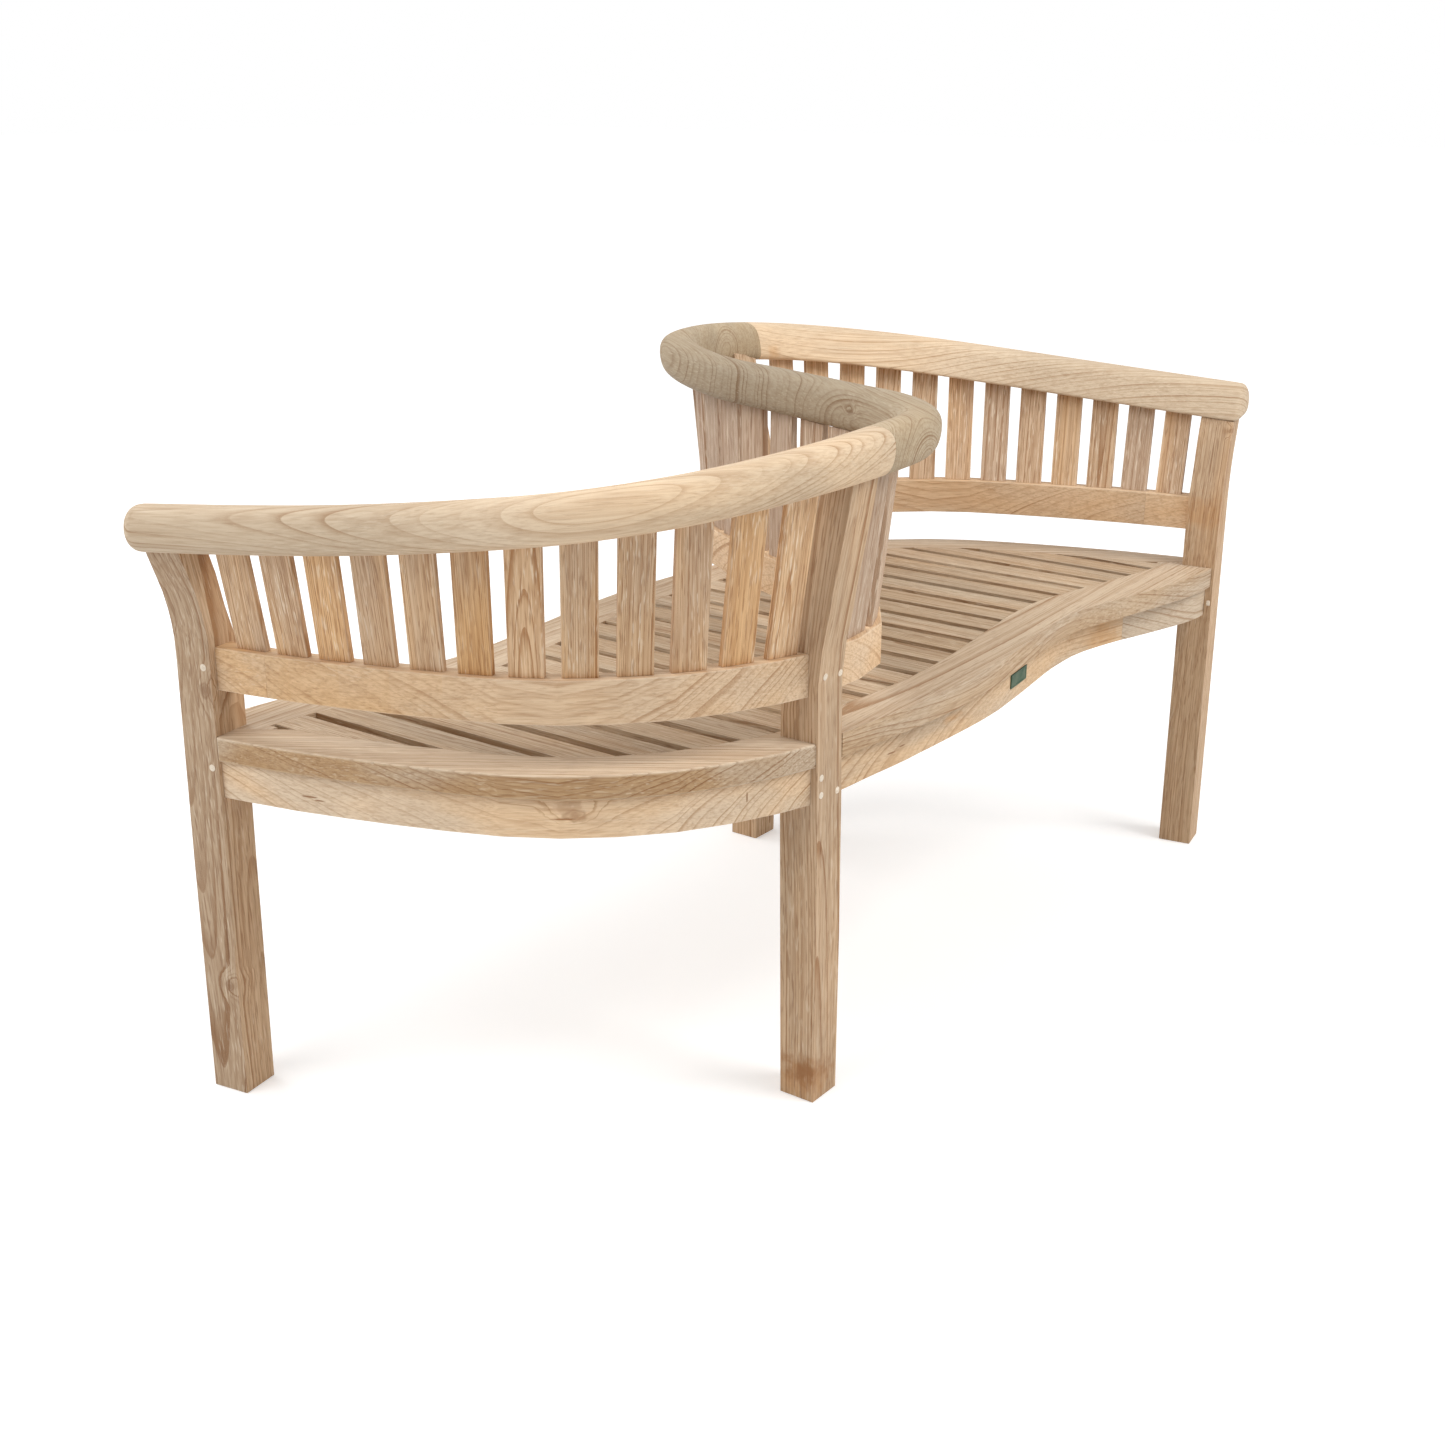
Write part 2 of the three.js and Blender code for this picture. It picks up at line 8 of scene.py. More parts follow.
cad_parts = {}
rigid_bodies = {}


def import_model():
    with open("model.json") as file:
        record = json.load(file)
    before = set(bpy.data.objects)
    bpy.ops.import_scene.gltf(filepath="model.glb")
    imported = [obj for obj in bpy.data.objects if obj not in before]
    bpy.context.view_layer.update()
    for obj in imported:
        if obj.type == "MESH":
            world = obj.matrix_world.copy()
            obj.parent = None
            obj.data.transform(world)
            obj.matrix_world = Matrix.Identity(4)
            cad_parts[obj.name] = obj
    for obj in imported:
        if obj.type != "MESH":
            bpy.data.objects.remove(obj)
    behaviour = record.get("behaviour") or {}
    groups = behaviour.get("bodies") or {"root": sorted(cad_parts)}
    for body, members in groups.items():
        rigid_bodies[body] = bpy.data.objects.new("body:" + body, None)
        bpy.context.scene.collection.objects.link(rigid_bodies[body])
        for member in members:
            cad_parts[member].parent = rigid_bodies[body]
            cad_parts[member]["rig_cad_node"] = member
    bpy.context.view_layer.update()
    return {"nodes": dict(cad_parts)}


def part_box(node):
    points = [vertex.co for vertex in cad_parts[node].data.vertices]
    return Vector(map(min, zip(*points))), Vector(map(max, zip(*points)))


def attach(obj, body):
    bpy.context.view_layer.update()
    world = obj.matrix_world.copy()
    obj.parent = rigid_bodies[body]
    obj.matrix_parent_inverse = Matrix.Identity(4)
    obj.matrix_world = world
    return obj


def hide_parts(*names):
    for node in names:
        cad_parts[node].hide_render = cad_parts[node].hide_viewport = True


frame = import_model()

# Camera: standing height, in front of end A and looking across the bench toward end post B.
camera_data = bpy.data.cameras.new("camera")
camera_data.sensor_width = 36
camera_data.lens = 46.16
camera = bpy.data.objects.new("camera", camera_data)
bpy.context.scene.collection.objects.link(camera)
heading = Matrix.Rotation(math.radians(36.194 - 90), 4, "Z")
pitch = Matrix.Rotation(math.radians(90 - 19.349), 4, "X")
roll = Matrix.Rotation(math.radians(0.198), 4, "Z")
camera.matrix_world = Matrix.Translation((-1.90271, -1.29923, 1.12574)) @ heading @ pitch @ roll
bpy.context.scene.camera = camera


# ---- Bend posts ----
# Two square legs of solid teak that stand in the bends of the S. Each is sawn from a thick plank,
# straight to the seat and swept outward above it, and it carries the boards and the rails. Its
# edges are eased with a sander, except where another piece butts against them.
HALVES = (("a", 1), ("b", -1))  # each half of the bench, and the sign that turns half A onto it
POST_EASE = 0.0022
BEND_SWEEP_START = 0.53
ARRIS_SLOT = 1

joint_trees = {
    name: BVHTree.FromPolygons(
        [vertex.co for vertex in node.data.vertices],
        [polygon.vertices for polygon in node.data.polygons],
    )
    for name, node in frame["nodes"].items()
}


def choose(piece):
    """Makes a piece the only selected one and the active one."""
    bpy.ops.object.select_all(action="DESELECT")
    piece.select_set(True)
    bpy.context.view_layer.objects.active = piece


def double(piece, name):
    """A copy of a piece with a mesh of its own."""
    choose(piece)
    bpy.ops.object.duplicate()
    twin = bpy.context.object
    twin.name = name
    twin.data.name = name
    return twin


def take_up(node_name, name):
    """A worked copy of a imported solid, with its corners joined."""
    piece = double(frame["nodes"][node_name], name)
    del piece["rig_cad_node"]
    bpy.ops.object.mode_set(mode="EDIT")
    bpy.ops.mesh.customdata_custom_splitnormals_clear()
    bpy.ops.mesh.select_all(action="SELECT")
    bpy.ops.mesh.remove_doubles(threshold=0.00002)
    bpy.ops.object.mode_set(mode="OBJECT")
    return piece


def join_flats(piece):
    """Joins the triangles of each flat face to one face."""
    bpy.context.view_layer.objects.active = piece
    bpy.ops.object.mode_set(mode="EDIT")
    bpy.ops.mesh.select_all(action="SELECT")
    bpy.ops.mesh.dissolve_limited(angle_limit=math.radians(0.4))
    bpy.ops.object.mode_set(mode="OBJECT")


def pick(piece, kind, indices):
    """Selects only these edges or faces of a piece, ready for edit mode."""
    mesh = piece.data
    for group in (mesh.vertices, mesh.edges, mesh.polygons):
        group.foreach_set("select", [False] * len(group))
    elements = mesh.edges if kind == "EDGE" else mesh.polygons
    for index in indices:
        elements[index].select = True
    bpy.context.view_layer.objects.active = piece
    bpy.context.tool_settings.mesh_select_mode = (False, kind == "EDGE", kind == "FACE")


def butts(node_name, point, reach=0.0009):
    """Whether a point of a piece lies at a joint with another piece."""
    for name, tree in joint_trees.items():
        if name != node_name and tree.find_nearest(point, reach)[0] is not None:
            return True
    return False


def sharp_edges(piece, node_name, least_angle=30):
    """The free, sharp edges of a piece: its arrises that no other piece covers."""
    mesh = piece.data
    normals = {}
    for polygon in mesh.polygons:
        for key in polygon.edge_keys:
            normals.setdefault(key, []).append(polygon.normal)
    found = []
    for edge in mesh.edges:
        pair = normals.get(edge.key, [])
        if len(pair) != 2 or pair[0].angle(pair[1], 0) < math.radians(least_angle):
            continue
        a, b = (mesh.vertices[index].co for index in edge.vertices)
        if not any(butts(node_name, a.lerp(b, share)) for share in (0.25, 0.5, 0.75)):
            found.append(edge.index)
    return found


def ease(piece, edges, radius, segments=3):
    """Rounds the chosen edges as a sander does."""
    while len(piece.data.materials) <= ARRIS_SLOT:
        piece.data.materials.append(None)
    pick(piece, "EDGE", edges)
    bpy.ops.object.mode_set(mode="EDIT")
    bpy.ops.mesh.bevel(
        offset=radius, segments=segments, affect="EDGES", clamp_overlap=True, material=ARRIS_SLOT
    )
    bpy.ops.object.mode_set(mode="OBJECT")


def smooth(piece, angle=40):
    """Smooth shading over curves and eased edges, with the flats kept flat."""
    choose(piece)
    bpy.ops.object.shade_smooth_by_angle(angle=math.radians(angle))
    weighted = piece.modifiers.new("flats", "WEIGHTED_NORMAL")
    weighted.keep_sharp = True
    bpy.ops.object.modifier_apply(modifier=weighted.name)


def sand(node_name, radius, segments=3, above=-1.0):
    """Takes up a solid, joins its flats, eases its free arrises above a height and smooths it."""
    piece = take_up(node_name, f"{node_name}_sanded")
    join_flats(piece)
    mesh = piece.data
    arrises = [
        index for index in sharp_edges(piece, node_name)
        if all(mesh.vertices[vertex].co.z > above for vertex in mesh.edges[index].vertices)
    ]
    ease(piece, arrises, radius, segments)
    smooth(piece)
    return piece


def clamp(value):
    """A value held between 0 and 1."""
    return max(0.0, min(1.0, value))


def turned(turn, x, y, z):
    """A vector of half A, or the same vector of half B, which is turned half round about Z."""
    return Vector((x * turn, y * turn, z))


def unsweep(push, start):
    """Sets the swept part of a post, above a height, upright again, as it grew in the log."""
    return lambda point: point + push * max(0.0, point.z - start)


def lay_grain(piece, along, face, pith, board, tone=0.0, scatter=0.0, unbend=lambda point: point):
    """Writes where each corner of the mesh lay in its log, along the grain and out from the pith.

    Each board number gives a figure of its own. Tone runs from -1, grey, to 1, golden. Scatter
    moves the boards of one piece apart in the log. Arrises and cuts across the grain are noted too.
    """
    along = Vector(along).normalized()
    side = Vector(face).cross(along).normalized()
    out = along.cross(side)
    pith = Vector(pith)
    mesh = piece.data
    grain, boards, cuts, tones, arrises = [], [], [], [], []
    for polygon in mesh.polygons:
        number = board(polygon) if callable(board) else board
        shade = tone(polygon) if callable(tone) else tone
        drift = Vector(
            (0.4 * number, math.sin(number * 12.9) * scatter, math.cos(number * 7.7) * scatter)
        )
        for corner in polygon.loop_indices:
            vertex = mesh.vertices[mesh.loops[corner].vertex_index]
            place = unbend(vertex.co) - pith
            grain.extend(Vector((place.dot(along), place.dot(side), place.dot(out))) + drift)
            boards.append(number)
            tones.append(shade)
            arrises.append(1.0 if polygon.material_index == ARRIS_SLOT else 0.0)
            cuts.append((vertex.normal if polygon.use_smooth else polygon.normal).dot(along) ** 2)
    mesh.attributes.new("grain", "FLOAT_VECTOR", "CORNER").data.foreach_set("vector", grain)
    for name, values in (("board", boards), ("end_cut", cuts), ("tone", tones), ("arris", arrises)):
        mesh.attributes.new(name, "FLOAT", "CORNER").data.foreach_set("value", values)


def add_node(tree, kind, values=None, **settings):
    """Adds a shader node. Each value is a plain value or the socket that feeds it."""
    node = tree.nodes.new(kind)
    for setting, value in settings.items():
        setattr(node, setting, value)
    for socket, value in (values or {}).items():
        if isinstance(value, bpy.types.NodeSocket):
            tree.links.new(value, node.inputs[socket])
        else:
            node.inputs[socket].default_value = value
    return node


def teak(name, pale, golden, grey, ring, thread, pore, fleck, patch, spacing, marks=()):
    """Sanded, unfinished teak: growth rings round a pith, fibres, open pores, stains and marks.

    Three colours, the strengths of rings, fibres, pores, flecks and stains, and a year's width.
    A mark is a knot, crack, stain or soil, its place, its turn about Z in degrees and its half
    sizes.
    """
    finish = bpy.data.materials.new(name)
    finish.use_nodes = True
    tree = finish.node_tree
    surface = tree.nodes["Principled BSDF"]

    def put(kind, values=None, **settings):
        return add_node(tree, kind, values, **settings)

    def read(attribute, output="Fac"):
        return put("ShaderNodeAttribute", attribute_name=attribute).outputs[output]

    def sums(operation, a, b=0.0, c=0.0):
        return put("ShaderNodeMath", {0: a, 1: b, 2: c}, operation=operation).outputs[0]

    def vectors(operation, a, b=(0, 0, 0), c=(0, 0, 0), output="Vector"):
        values = {0: a, 1: b, 2: c} if operation == "MULTIPLY_ADD" else {0: a, 1: b}
        return put("ShaderNodeVectorMath", values, operation=operation).outputs[output]

    def noise(scale, shift=0.0, detail=2.0, output=0, vector=None):
        stretched = vectors("MULTIPLY", place if vector is None else vector, scale)
        seed = sums("ADD", board, shift)
        values = {"Vector": stretched, "W": seed, "Scale": 1.0, "Detail": detail, "Roughness": 0.55}
        return put("ShaderNodeTexNoise", values, noise_dimensions="4D").outputs[output]

    def between(value, low, high, to_low=0.0, to_high=1.0):
        values = {0: value, 1: low, 2: high, 3: to_low, 4: to_high}
        return put("ShaderNodeMapRange", values, interpolation_type="SMOOTHSTEP").outputs[0]

    def mix(factor, a, b, blend="MIX"):
        settings = {"data_type": "RGBA", "blend_type": blend, "clamp_factor": True}
        return put("ShaderNodeMix", {0: factor, 6: a, 7: b}, **settings).outputs[2]

    place = read("grain", "Vector")
    board = read("board")
    end_cut = read("end_cut")
    tone = read("tone")
    arris = read("arris")

    # Growth rings: the distance from the pith, bent by the way the tree grew
    half = (0.5, 0.5, 0.5)
    wander = vectors("SUBTRACT", noise((1.1, 5, 5), 0.0, 1.0, "Color"), half)
    ripple = vectors("SUBTRACT", noise((5, 16, 16), 5.0, 1.0, "Color"), half)
    wavy = vectors("MULTIPLY_ADD", wander, (0, 0.05, 0.05), place)
    wavy = vectors("MULTIPLY_ADD", ripple, (0, 0.0030, 0.0030), wavy)
    radius = vectors("LENGTH", vectors("MULTIPLY", wavy, (0, 1, 1)), output="Value")
    years = sums("DIVIDE", radius, spacing)

    # Marks, found by their place on the bench
    spot = put("ShaderNodeTexCoord").outputs["Object"]
    shiver = vectors("SUBTRACT", noise((90, 90, 90), 9.0, 2.0, "Color"), half)
    masks = {"knot": [], "crack": [], "stain": [], "soil": []}
    for kind, centre, turn, half_sizes in marks:
        values = {"Vector": spot, "Location": centre, "Scale": half_sizes}
        values["Rotation"] = (0, 0, math.radians(turn))
        local = put("ShaderNodeMapping", values, vector_type="TEXTURE").outputs[0]
        local = vectors("MULTIPLY_ADD", shiver, (1.4, 1.4, 1.4), local)
        distance = vectors("LENGTH", local, output="Value")
        if kind == "knot":
            # The rings bulge round a knot, which has a dark rim and a dark core
            years = sums("MULTIPLY_ADD", between(distance, 0.6, 4.5, 1.0, 0.0), 2.4, years)
            rim = between(distance, 0.45, 0.9, 0.0, 0.6)
            rim = sums("MULTIPLY", rim, between(distance, 0.9, 1.4, 1.0, 0.0))
            core = between(distance, 0.3, 1.2, 0.7, 0.0)
            masks[kind].append(sums("MAXIMUM", rim, core))
        else:
            inner = 0.6 if kind == "crack" else 0.1
            masks[kind].append(between(distance, inner, 1.15, 1.0, 0.0))

    # Ring lines: each year runs slowly to a dark late edge, and good and bad years differ
    def along_years(step, seed, detail):
        values = {"W": sums("MULTIPLY_ADD", years, step, seed), "Scale": 1.0, "Detail": detail}
        return put("ShaderNodeTexNoise", values, noise_dimensions="1D").outputs[0]

    uneven = along_years(0.37, board, 2.0)
    group = along_years(0.12, sums("MULTIPLY", board, 3.0), 1.0)
    years = sums("MULTIPLY_ADD", uneven, 2.2, years)
    season = sums("FRACT", years)
    late = between(season, 0.3, 1.0)
    line = sums("MULTIPLY", sums("MULTIPLY", late, late), late)
    line = sums("MULTIPLY", line, between(season, 0.96, 1.0, 1.0, 0.55))
    ring_seed = sums("MULTIPLY_ADD", board, 17.0, sums("FLOOR", years))
    vigour = put("ShaderNodeTexWhiteNoise", {"W": ring_seed}, noise_dimensions="1D")
    vigour = vigour.outputs["Value"]
    line = sums("MULTIPLY", line, between(vigour, 0.1, 0.9, 0.2, 1.0))
    line = sums("MULTIPLY", line, between(noise((2.2, 11, 11), 31.0), 0.36, 0.62, 0.4, 1.0))
    line = sums("MULTIPLY", line, sums("MULTIPLY_ADD", end_cut, 0.5, 1.0))

    # Fibres and pores, which lie along the grain, and slow changes over the board
    streak = between(noise((0.8, 230, 230), 7.0, 2.0, vector=wavy), 0.44, 0.70)
    fibre = noise((3, 520, 520), 0.0, 2.0, vector=wavy)
    pores = between(noise((34, 520, 520), 3.0, 1.0, vector=wavy), 0.56, 0.67)
    flecks = between(noise((42, 480, 480), 19.0, 1.0, vector=wavy), 0.56, 0.68)
    flecks = sums("MULTIPLY", flecks, between(noise((4, 26, 26), 23.0), 0.42, 0.6, 0.2, 1.0))
    stain = sums("MULTIPLY", between(noise((1.7, 9, 9), 53.0), 0.38, 0.62), patch)
    cloud = sums("MULTIPLY", between(noise((3.1, 16, 16), 71.0), 0.42, 0.66), 0.5)
    bands = sums("MULTIPLY", between(group, 0.42, 0.62), 0.5)
    chance = put("ShaderNodeTexWhiteNoise", {"W": board}, noise_dimensions="1D").outputs["Value"]

    # Colour, from the ground up
    colour = mix(sums("MAXIMUM", stain, bands), pale, golden)
    colour = mix(sums("MAXIMUM", tone, 0.0), colour, golden)
    colour = mix(sums("MAXIMUM", cloud, sums("MULTIPLY", tone, -1.0)), colour, grey)
    colour = mix(sums("MULTIPLY", end_cut, 0.3), colour, grey)
    stained = mix(1.0, golden, (0.92, 0.80, 0.66, 1), "MULTIPLY")
    for mask in masks["stain"]:
        colour = mix(sums("MULTIPLY", mask, 0.65), colour, stained)
    dark = mix(1.0, colour, (0.56, 0.42, 0.31, 1), "MULTIPLY")
    deep = mix(1.0, colour, (0.40, 0.26, 0.17, 1), "MULTIPLY")
    bright = mix(0.55, colour, (0.90, 0.80, 0.64, 1))
    colour = mix(sums("MULTIPLY", line, ring), colour, dark)
    colour = mix(sums("MULTIPLY", streak, thread), colour, dark)
    colour = mix(between(fibre, 0.38, 0.72, 0.0, thread), colour, dark)
    colour = mix(sums("MULTIPLY", flecks, fleck), colour, bright)
    colour = mix(sums("MULTIPLY", pores, pore), colour, deep)
    for mask in masks["knot"] + masks["crack"]:
        colour = mix(sums("MULTIPLY", mask, 0.85), colour, deep)
    mottle = between(noise((30, 60, 60), 67.0, 3.0), 0.35, 0.62, 0.25, 1.0)
    for mask in masks["soil"]:
        colour = mix(sums("MULTIPLY", mask, mottle), colour, dark)
    # Eased arrises are lightened. This is partly the paler wood that sanding lays bare, and partly
    # a painted highlight where the rounded edges catch the light.
    colour = mix(sums("MULTIPLY", arris, 0.25), colour, bright)
    level = between(chance, 0.0, 1.0, 0.93, 1.05)
    level = put("ShaderNodeCombineColor", {0: level, 1: level, 2: level}).outputs[0]
    tree.links.new(mix(1.0, colour, level, "MULTIPLY"), surface.inputs["Base Color"])

    # Dull, with fine relief in the pores, the late wood and the cracks
    tree.links.new(between(fibre, 0.3, 0.7, 0.58, 0.74), surface.inputs["Roughness"])
    relief = sums("MULTIPLY_ADD", fibre, 0.5, sums("MULTIPLY", pores, -0.8))
    relief = sums("MULTIPLY_ADD", line, -0.25, relief)
    for mask in masks["crack"]:
        relief = sums("MULTIPLY_ADD", mask, -2.0, relief)
    bump = put("ShaderNodeBump", {"Height": relief, "Strength": 0.4, "Distance": 0.0006})
    tree.links.new(bump.outputs[0], surface.inputs["Normal"])
    surface.inputs["Metallic"].default_value = 0.0
    surface.inputs["Specular IOR Level"].default_value = 0.3
    return finish


def hand_in(piece, nodes, finish):
    """Gives a finished piece its material and its place on the bench."""
    piece.data.materials.clear()
    piece.data.materials.append(finish)
    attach(piece, "root")
    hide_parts(*nodes)


post_teak = teak(
    "post_teak",
    pale=(0.680, 0.495, 0.325, 1), golden=(0.600, 0.390, 0.215, 1), grey=(0.450, 0.330, 0.222, 1),
    ring=2.0, thread=0.45, pore=0.45, fleck=0.4, patch=0.5, spacing=0.0040,
    marks=(
        ("knot", (-0.6979, 0.2764, 0.4922), 9.4, (0.012, 0.0065, 0.0085)),
        ("knot", (-0.7012, 0.2771, 0.1373), 9.4, (0.012, 0.0050, 0.0065)),
        ("crack", (-0.7005, 0.2745, 0.1900), 9.4, (0.010, 0.0015, 0.0300)),
        ("knot", (0.6838, -0.3144, 0.6373), 9.4, (0.010, 0.0028, 0.0034)),
        ("stain", (0.6560, -0.2950, 0.5180), 9.4, (0.050, 0.0600, 0.0330)),
        ("stain", (-0.3243, -0.2571, 0.0100), 0.0, (0.045, 0.0450, 0.0420)),
        ("stain", (-0.3143, -0.2650, 0.0300), 0.0, (0.040, 0.0400, 0.0300)),
        ("soil", (-0.3330, -0.2600, 0.0360), 0.0, (0.060, 0.0600, 0.0270)),
        ("crack", (-0.3170, -0.2735, 0.3180), 0.0, (0.0012, 0.010, 0.0130)),
    ),
)
for number, (side, turn) in enumerate(HALVES):
    node_name = f"bend_post_{side}"
    post = sand(node_name, POST_EASE)
    low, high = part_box(node_name)
    middle = (low + high) / 2
    # The log had nearly the sweep of the post, so the fibres follow most of it
    lay_grain(
        post, along=turned(turn, 0.006, 0.016, 1), face=turned(turn, 0.35, -1, 0),
        pith=(middle.x - 0.012 * turn, middle.y + 0.055 * turn, 0.2), board=41 + number,
        unbend=unsweep(turned(turn, 0, 0.165, 0), BEND_SWEEP_START),
    )
    hand_in(post, [node_name], post_teak)


# ---- End posts ----
# Two legs of solid teak at the far ends of the two backs, turned a little with the line of the
# back. Above the seat they sweep outward and run into the tip of the hand rail.
END_SWEEP_START = 0.54
for number, (side, turn) in enumerate(HALVES):
    node_name = f"end_post_{side}"
    post = sand(node_name, POST_EASE)
    lay_grain(
        post, along=turned(turn, -0.035, 0.012, 1), face=turned(turn, -1, -0.6, 0),
        pith=turned(turn, -0.655, 0.325, 0.2), board=43 + 5 * number,
        tone=lambda polygon: -0.9 if polygon.normal.x * turn < -0.7 else -0.1,
        unbend=unsweep(turned(turn, 0.22, 0.04, 0), END_SWEEP_START),
    )
    hand_in(post, [node_name], post_teak)


# ---- Pegs ----
# Short teak dowels, 8 mm thick, that lock the tenons of the rails, boards and aprons in the posts.
# They are cut off and sanded nearly flush, and being end grain and fresh they stay paler.
PEG_RADIUS = 0.0040
PEG_LENGTH = 0.0040
PEG_PROUD = 0.0002
peg_places = [
    ((-0.3114, -0.2714, 0.5138), (0, -1, 0)),
    ((-0.2811, -0.2711, 0.5107), (0, -1, 0)),
    ((-0.3166, -0.2727, 0.3994), (0, -1, 0)),
    ((-0.3171, -0.2731, 0.3794), (0, -1, 0)),
    ((-0.2847, -0.2732, 0.3756), (0, -1, 0)),
    ((-0.7010, 0.2760, 0.5181), (-0.9866, -0.1633, 0)),
    ((-0.7005, 0.2750, 0.4032), (-0.9866, -0.1633, 0)),
    ((-0.6480, 0.3195, 0.3867), (-0.1633, 0.9866, 0)),
]
post_trees = [joint_trees[f"{kind}_post_{side}"] for kind in ("bend", "end") for side, _ in HALVES]

bpy.ops.mesh.primitive_cylinder_add(
    vertices=24, radius=PEG_RADIUS, depth=PEG_LENGTH, end_fill_type="NGON"
)
peg_model = bpy.context.object
heads = [polygon.index for polygon in peg_model.data.polygons if polygon.normal.z > 0.9]
pick(peg_model, "FACE", heads)
bpy.ops.object.mode_set(mode="EDIT")
bpy.ops.mesh.inset(thickness=0.0006, depth=0.0003)
bpy.ops.mesh.inset(thickness=0.0012, depth=0.0001)
bpy.ops.object.mode_set(mode="OBJECT")

peg_teak = teak(
    "peg_teak",
    pale=(0.900, 0.810, 0.670, 1), golden=(0.850, 0.730, 0.560, 1), grey=(0.760, 0.660, 0.540, 1),
    ring=0.3, thread=0.2, pore=0.2, fleck=0.3, patch=0.3, spacing=0.0030,
)
for side, turn in HALVES:
    for number, (spot, out) in enumerate(peg_places, 1):
        spot = turned(turn, *spot)
        out = turned(turn, *out)
        hits = [tree.find_nearest(spot) for tree in post_trees]
        seat, normal, _, _ = min(hits, key=lambda hit: hit[3])
        if normal.dot(out) < 0.5:
            normal = out
        peg = double(peg_model, f"peg_{side}_{number:02d}")
        peg.rotation_euler = normal.to_track_quat("Z", "Y").to_euler()
        peg.location = seat - normal * (PEG_LENGTH / 2 - PEG_PROUD)
        bpy.ops.object.transform_apply(location=True, rotation=True, scale=True)
        smooth(peg, 50)
        lay_grain(
            peg, along=normal, face=(0, 0, 1), pith=seat + Vector((0, 0, 0.004)), board=60 + number
        )
        peg.data.materials.clear()
        peg.data.materials.append(peg_teak)
        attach(peg, "root")
bpy.data.objects.remove(peg_model)


# ---- Aprons ----
# Four curved aprons under the seat boards, sawn to shape from 24 mm teak and tenoned into the
# posts. Each front apron is glued up from two lengths near its end post.
APRON_EASE = 0.0012
apron_teak = teak(
    "apron_teak",
    pale=(0.820, 0.635, 0.445, 1), golden=(0.740, 0.490, 0.260, 1), grey=(0.580, 0.480, 0.365, 1),
    ring=0.95, thread=0.28, pore=0.18, fleck=0.25, patch=0.55, spacing=0.0048,
    marks=(
        ("knot", (-0.5490, -0.1186, 0.3940), -55.0, (0.0110, 0.0110, 0.0060)),
        ("crack", (-0.5560, -0.1080, 0.3900), -55.0, (0.0140, 0.0100, 0.0012)),
        ("crack", (-0.6665, 0.1560, 0.3870), -74.0, (0.0110, 0.0100, 0.0012)),
        ("crack", (-0.6630, 0.1450, 0.3840), -74.0, (0.0070, 0.0100, 0.0011)),
        ("crack", (-0.4020, -0.2339, 0.3948), -24.0, (0.0012, 0.0100, 0.0065)),
        ("crack", (-0.1700, -0.2727, 0.3850), 0.0, (0.0100, 0.0100, 0.0012)),
        ("crack", (-0.1480, -0.2727, 0.3880), 0.0, (0.0080, 0.0100, 0.0010)),
        ("stain", (0.4200, -0.2600, 0.3800), 0.0, (0.0380, 0.0500, 0.0500)),
        ("stain", (-0.0368, -0.2767, 0.3924), 0.0, (0.0280, 0.0300, 0.0060)),
    ),
)


def sawn_in_two(piece, point, normal, names, kerf=0.00025):
    """Saws a piece across, and returns its two lengths with a glue line between them."""
    lengths = []
    for name, sign in zip(names, (1, -1)):
        length = double(piece, name)
        bpy.ops.object.mode_set(mode="EDIT")
        bpy.ops.mesh.select_all(action="SELECT")
        bpy.ops.mesh.bisect(
            plane_co=Vector(point) + Vector(normal) * sign * kerf / 2,
            plane_no=Vector(normal) * sign, use_fill=True, clear_inner=True,
        )
        bpy.ops.object.mode_set(mode="OBJECT")
        smooth(length)
        lengths.append(length)
    bpy.data.objects.remove(piece)
    return lengths


for number, (side, turn) in enumerate(HALVES):
    node_name = f"end_apron_{side}"
    apron = sand(node_name, APRON_EASE, 2)
    lay_grain(
        apron, along=turned(turn, 0.57, -0.82, 0.012), face=turned(turn, -0.82, -0.57, 0.25),
        pith=turned(turn, -0.44, 0.09, 0.30), board=70 + number,
    )
    hand_in(apron, [node_name], apron_teak)

for number, (side, turn) in enumerate((("b", 1), ("a", -1))):
    node_name = f"front_apron_{side}"
    lengths = sawn_in_two(
        sand(node_name, APRON_EASE, 2), turned(turn, 0.464, -0.267, 0.39), (turn, 0, 0),
        (f"{node_name}_end_length", f"{node_name}_long_length"),
    )
    for part, (length, tone) in enumerate(zip(lengths, (-0.8, 0.25))):
        lay_grain(
            length, along=turned(turn, 1, 0.04 - 0.30 * part, 0.01), face=(0, -turn, 0.35),
            pith=turned(turn, 0.1, -0.19 - 0.02 * part, 0.31), board=73 + 2 * number + 6 * part,
            tone=tone,
        )
        hand_in(length, [node_name], apron_teak)


